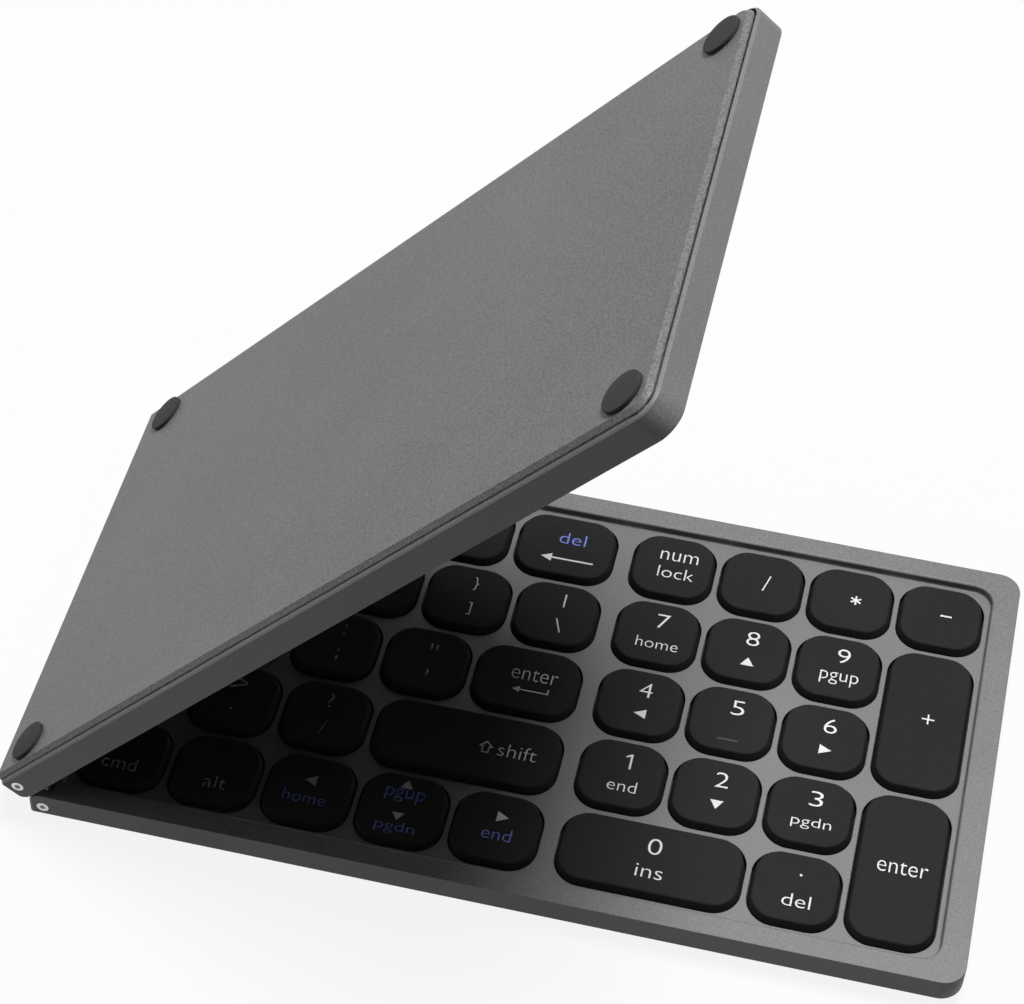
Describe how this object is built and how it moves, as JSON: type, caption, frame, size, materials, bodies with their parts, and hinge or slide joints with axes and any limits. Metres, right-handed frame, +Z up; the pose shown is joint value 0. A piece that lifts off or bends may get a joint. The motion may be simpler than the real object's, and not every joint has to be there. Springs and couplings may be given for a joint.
{
  "type": "folding keyboard",
  "caption": "Slim folding keyboard in dark grey metal: two shallow key trays with rounded black keys, joined by a two-pin link hinge that lets them fold shut or open flat.",
  "frame": {"origin": "centre of the bounding box in plan, on the plane that the base half's feet rest on, with the lid half standing open as at rest", "axes": "+X along the keyboard from the hinge to the base half's free end, +Y from the front edge to the back edge, +Z up"},
  "size_m": [0.1848, 0.1, 0.1435],
  "materials": {
    "case_metal": "fine bead-blasted, dark grey anodised",
    "hinge_metal": "dark anodised",
    "key_plastic": "fine matt black",
    "foot_rubber": "matt",
    "steel": "plain",
    "membrane_film": "film printed black over its silver tracks",
    "dome_rubber": "soft silicone",
    "scissor_plastic": "moulded acetal",
    "battery_pouch": "laminated foil pouch",
    "board": "glass-fibre board with solder mask",
    "magnet": "nickel plated",
    "cable_film": "polyimide film over copper"
  },
  "bodies": {
    "base": {"base_frame": "case_metal", "base_cover": "case_metal", "base_feet": "foot_rubber", "base_screws": "steel", "base_key_plate": "steel", "base_membrane": "membrane_film", "base_domes": "dome_rubber", "base_scissors": "scissor_plastic", "battery": "battery_pouch", "circuit_board": "board", "charging_socket": "steel", "base_magnets": "magnet", "flat_cable_base": "cable_film"},
    "link": {"hinge_link": "hinge_metal", "hinge_pins": "steel", "friction_washers": "steel", "flat_cable_link": "cable_film"},
    "lid": {"lid_frame": "case_metal", "lid_cover": "case_metal", "lid_feet": "foot_rubber", "lid_screws": "steel", "lid_key_plate": "steel", "lid_membrane": "membrane_film", "lid_domes": "dome_rubber", "lid_scissors": "scissor_plastic", "lid_magnets": "magnet", "flat_cable_lid": "cable_film"},
    "key_num_lock": {"key_num_lock": "key_plastic"},
    "key_divide": {"key_divide": "key_plastic"},
    "key_multiply": {"key_multiply": "key_plastic"},
    "key_minus": {"key_minus": "key_plastic"},
    "key_7": {"key_7": "key_plastic"},
    "key_8": {"key_8": "key_plastic"},
    "key_9": {"key_9": "key_plastic"},
    "key_plus": {"key_plus": "key_plastic"},
    "key_4": {"key_4": "key_plastic"},
    "key_5": {"key_5": "key_plastic"},
    "key_6": {"key_6": "key_plastic"},
    "key_1": {"key_1": "key_plastic"},
    "key_2": {"key_2": "key_plastic"},
    "key_3": {"key_3": "key_plastic"},
    "key_pad_enter": {"key_pad_enter": "key_plastic"},
    "key_0": {"key_0": "key_plastic"},
    "key_point": {"key_point": "key_plastic"},
    "key_backspace": {"key_backspace": "key_plastic"},
    "key_backslash": {"key_backslash": "key_plastic"},
    "key_enter": {"key_enter": "key_plastic"},
    "key_shift": {"key_shift": "key_plastic"},
    "key_left_home": {"key_left_home": "key_plastic"},
    "key_up_down": {"key_up_down": "key_plastic"},
    "key_right_end": {"key_right_end": "key_plastic"},
    "keys_digits_and_o_p": {"keys_digits_and_o_p": "key_plastic"},
    "keys_k_to_quote": {"keys_k_to_quote": "key_plastic"},
    "keys_comma_to_slash": {"keys_comma_to_slash": "key_plastic"},
    "keys_cmd_alt": {"keys_cmd_alt": "key_plastic"},
    "lid_keys_bottom_row": {"lid_keys_bottom_row": "key_plastic"},
    "lid_keys_shift_row": {"lid_keys_shift_row": "key_plastic"},
    "lid_keys_caps_row": {"lid_keys_caps_row": "key_plastic"},
    "lid_keys_tab_row": {"lid_keys_tab_row": "key_plastic"},
    "lid_keys_esc_row": {"lid_keys_esc_row": "key_plastic"}
  },
  "joints": [
    {"name": "base_hinge", "type": "hinge", "parent": "base", "child": "link", "pos_m": [-0.08347, 0, 0.0043], "axis": [0, -1, 0], "range_deg": [-41.5, 48.5]},
    {"name": "lid_hinge", "type": "hinge", "parent": "link", "child": "lid", "pos_m": [-0.08798, 0, 0.00939], "axis": [0, -1, 0], "range_deg": [-7.5, 82.5]},
    {"name": "press_num_lock", "type": "slide", "parent": "base", "child": "key_num_lock", "axis": [0, 0, -1], "range_m": [0, 0.0012], "stiffness_N_per_m": 400, "springref_m": -0.0003},
    {"name": "press_divide", "type": "slide", "parent": "base", "child": "key_divide", "axis": [0, 0, -1], "range_m": [0, 0.0012], "stiffness_N_per_m": 400, "springref_m": -0.0003},
    {"name": "press_multiply", "type": "slide", "parent": "base", "child": "key_multiply", "axis": [0, 0, -1], "range_m": [0, 0.0012], "stiffness_N_per_m": 400, "springref_m": -0.0003},
    {"name": "press_minus", "type": "slide", "parent": "base", "child": "key_minus", "axis": [0, 0, -1], "range_m": [0, 0.0012], "stiffness_N_per_m": 400, "springref_m": -0.0003},
    {"name": "press_7", "type": "slide", "parent": "base", "child": "key_7", "axis": [0, 0, -1], "range_m": [0, 0.0012], "stiffness_N_per_m": 400, "springref_m": -0.0003},
    {"name": "press_8", "type": "slide", "parent": "base", "child": "key_8", "axis": [0, 0, -1], "range_m": [0, 0.0012], "stiffness_N_per_m": 400, "springref_m": -0.0003},
    {"name": "press_9", "type": "slide", "parent": "base", "child": "key_9", "axis": [0, 0, -1], "range_m": [0, 0.0012], "stiffness_N_per_m": 400, "springref_m": -0.0003},
    {"name": "press_plus", "type": "slide", "parent": "base", "child": "key_plus", "axis": [0, 0, -1], "range_m": [0, 0.0012], "stiffness_N_per_m": 400, "springref_m": -0.0003},
    {"name": "press_4", "type": "slide", "parent": "base", "child": "key_4", "axis": [0, 0, -1], "range_m": [0, 0.0012], "stiffness_N_per_m": 400, "springref_m": -0.0003},
    {"name": "press_5", "type": "slide", "parent": "base", "child": "key_5", "axis": [0, 0, -1], "range_m": [0, 0.0012], "stiffness_N_per_m": 400, "springref_m": -0.0003},
    {"name": "press_6", "type": "slide", "parent": "base", "child": "key_6", "axis": [0, 0, -1], "range_m": [0, 0.0012], "stiffness_N_per_m": 400, "springref_m": -0.0003},
    {"name": "press_1", "type": "slide", "parent": "base", "child": "key_1", "axis": [0, 0, -1], "range_m": [0, 0.0012], "stiffness_N_per_m": 400, "springref_m": -0.0003},
    {"name": "press_2", "type": "slide", "parent": "base", "child": "key_2", "axis": [0, 0, -1], "range_m": [0, 0.0012], "stiffness_N_per_m": 400, "springref_m": -0.0003},
    {"name": "press_3", "type": "slide", "parent": "base", "child": "key_3", "axis": [0, 0, -1], "range_m": [0, 0.0012], "stiffness_N_per_m": 400, "springref_m": -0.0003},
    {"name": "press_pad_enter", "type": "slide", "parent": "base", "child": "key_pad_enter", "axis": [0, 0, -1], "range_m": [0, 0.0012], "stiffness_N_per_m": 400, "springref_m": -0.0003},
    {"name": "press_0", "type": "slide", "parent": "base", "child": "key_0", "axis": [0, 0, -1], "range_m": [0, 0.0012], "stiffness_N_per_m": 400, "springref_m": -0.0003, "deforming": ["base_domes", "base_scissors"]},
    {"name": "press_point", "type": "slide", "parent": "base", "child": "key_point", "axis": [0, 0, -1], "range_m": [0, 0.0012], "stiffness_N_per_m": 400, "springref_m": -0.0003},
    {"name": "press_backspace", "type": "slide", "parent": "base", "child": "key_backspace", "axis": [0, 0, -1], "range_m": [0, 0.0012], "stiffness_N_per_m": 400, "springref_m": -0.0003},
    {"name": "press_backslash", "type": "slide", "parent": "base", "child": "key_backslash", "axis": [0, 0, -1], "range_m": [0, 0.0012], "stiffness_N_per_m": 400, "springref_m": -0.0003},
    {"name": "press_enter", "type": "slide", "parent": "base", "child": "key_enter", "axis": [0, 0, -1], "range_m": [0, 0.0012], "stiffness_N_per_m": 400, "springref_m": -0.0003},
    {"name": "press_shift", "type": "slide", "parent": "base", "child": "key_shift", "axis": [0, 0, -1], "range_m": [0, 0.0012], "stiffness_N_per_m": 400, "springref_m": -0.0003},
    {"name": "press_left_home", "type": "slide", "parent": "base", "child": "key_left_home", "axis": [0, 0, -1], "range_m": [0, 0.0012], "stiffness_N_per_m": 400, "springref_m": -0.0003},
    {"name": "press_up_down", "type": "slide", "parent": "base", "child": "key_up_down", "axis": [0, 0, -1], "range_m": [0, 0.0012], "stiffness_N_per_m": 400, "springref_m": -0.0003},
    {"name": "press_right_end", "type": "slide", "parent": "base", "child": "key_right_end", "axis": [0, 0, -1], "range_m": [0, 0.0012], "stiffness_N_per_m": 400, "springref_m": -0.0003},
    {"name": "press_digits_and_o_p", "type": "slide", "parent": "base", "child": "keys_digits_and_o_p", "axis": [0, 0, -1], "range_m": [0, 0.0012], "stiffness_N_per_m": 400, "springref_m": -0.0003},
    {"name": "press_k_to_quote", "type": "slide", "parent": "base", "child": "keys_k_to_quote", "axis": [0, 0, -1], "range_m": [0, 0.0012], "stiffness_N_per_m": 400, "springref_m": -0.0003},
    {"name": "press_comma_to_slash", "type": "slide", "parent": "base", "child": "keys_comma_to_slash", "axis": [0, 0, -1], "range_m": [0, 0.0012], "stiffness_N_per_m": 400, "springref_m": -0.0003},
    {"name": "press_cmd_alt", "type": "slide", "parent": "base", "child": "keys_cmd_alt", "axis": [0, 0, -1], "range_m": [0, 0.0012], "stiffness_N_per_m": 400, "springref_m": -0.0003},
    {"name": "press_lid_keys_bottom_row", "type": "slide", "parent": "lid", "child": "lid_keys_bottom_row", "axis": [-0.7547, 0, 0.6561], "range_m": [0, 0.0012], "stiffness_N_per_m": 400, "springref_m": -0.0003, "deforming": ["lid_domes", "lid_scissors"]},
    {"name": "press_lid_keys_shift_row", "type": "slide", "parent": "lid", "child": "lid_keys_shift_row", "axis": [-0.7547, 0, 0.6561], "range_m": [0, 0.0012], "stiffness_N_per_m": 400, "springref_m": -0.0003},
    {"name": "press_lid_keys_caps_row", "type": "slide", "parent": "lid", "child": "lid_keys_caps_row", "axis": [-0.7547, 0, 0.6561], "range_m": [0, 0.0012], "stiffness_N_per_m": 400, "springref_m": -0.0003},
    {"name": "press_lid_keys_tab_row", "type": "slide", "parent": "lid", "child": "lid_keys_tab_row", "axis": [-0.7547, 0, 0.6561], "range_m": [0, 0.0012], "stiffness_N_per_m": 400, "springref_m": -0.0003},
    {"name": "press_lid_keys_esc_row", "type": "slide", "parent": "lid", "child": "lid_keys_esc_row", "axis": [-0.7547, 0, 0.6561], "range_m": [0, 0.0012], "stiffness_N_per_m": 400, "springref_m": -0.0003}
  ]
}
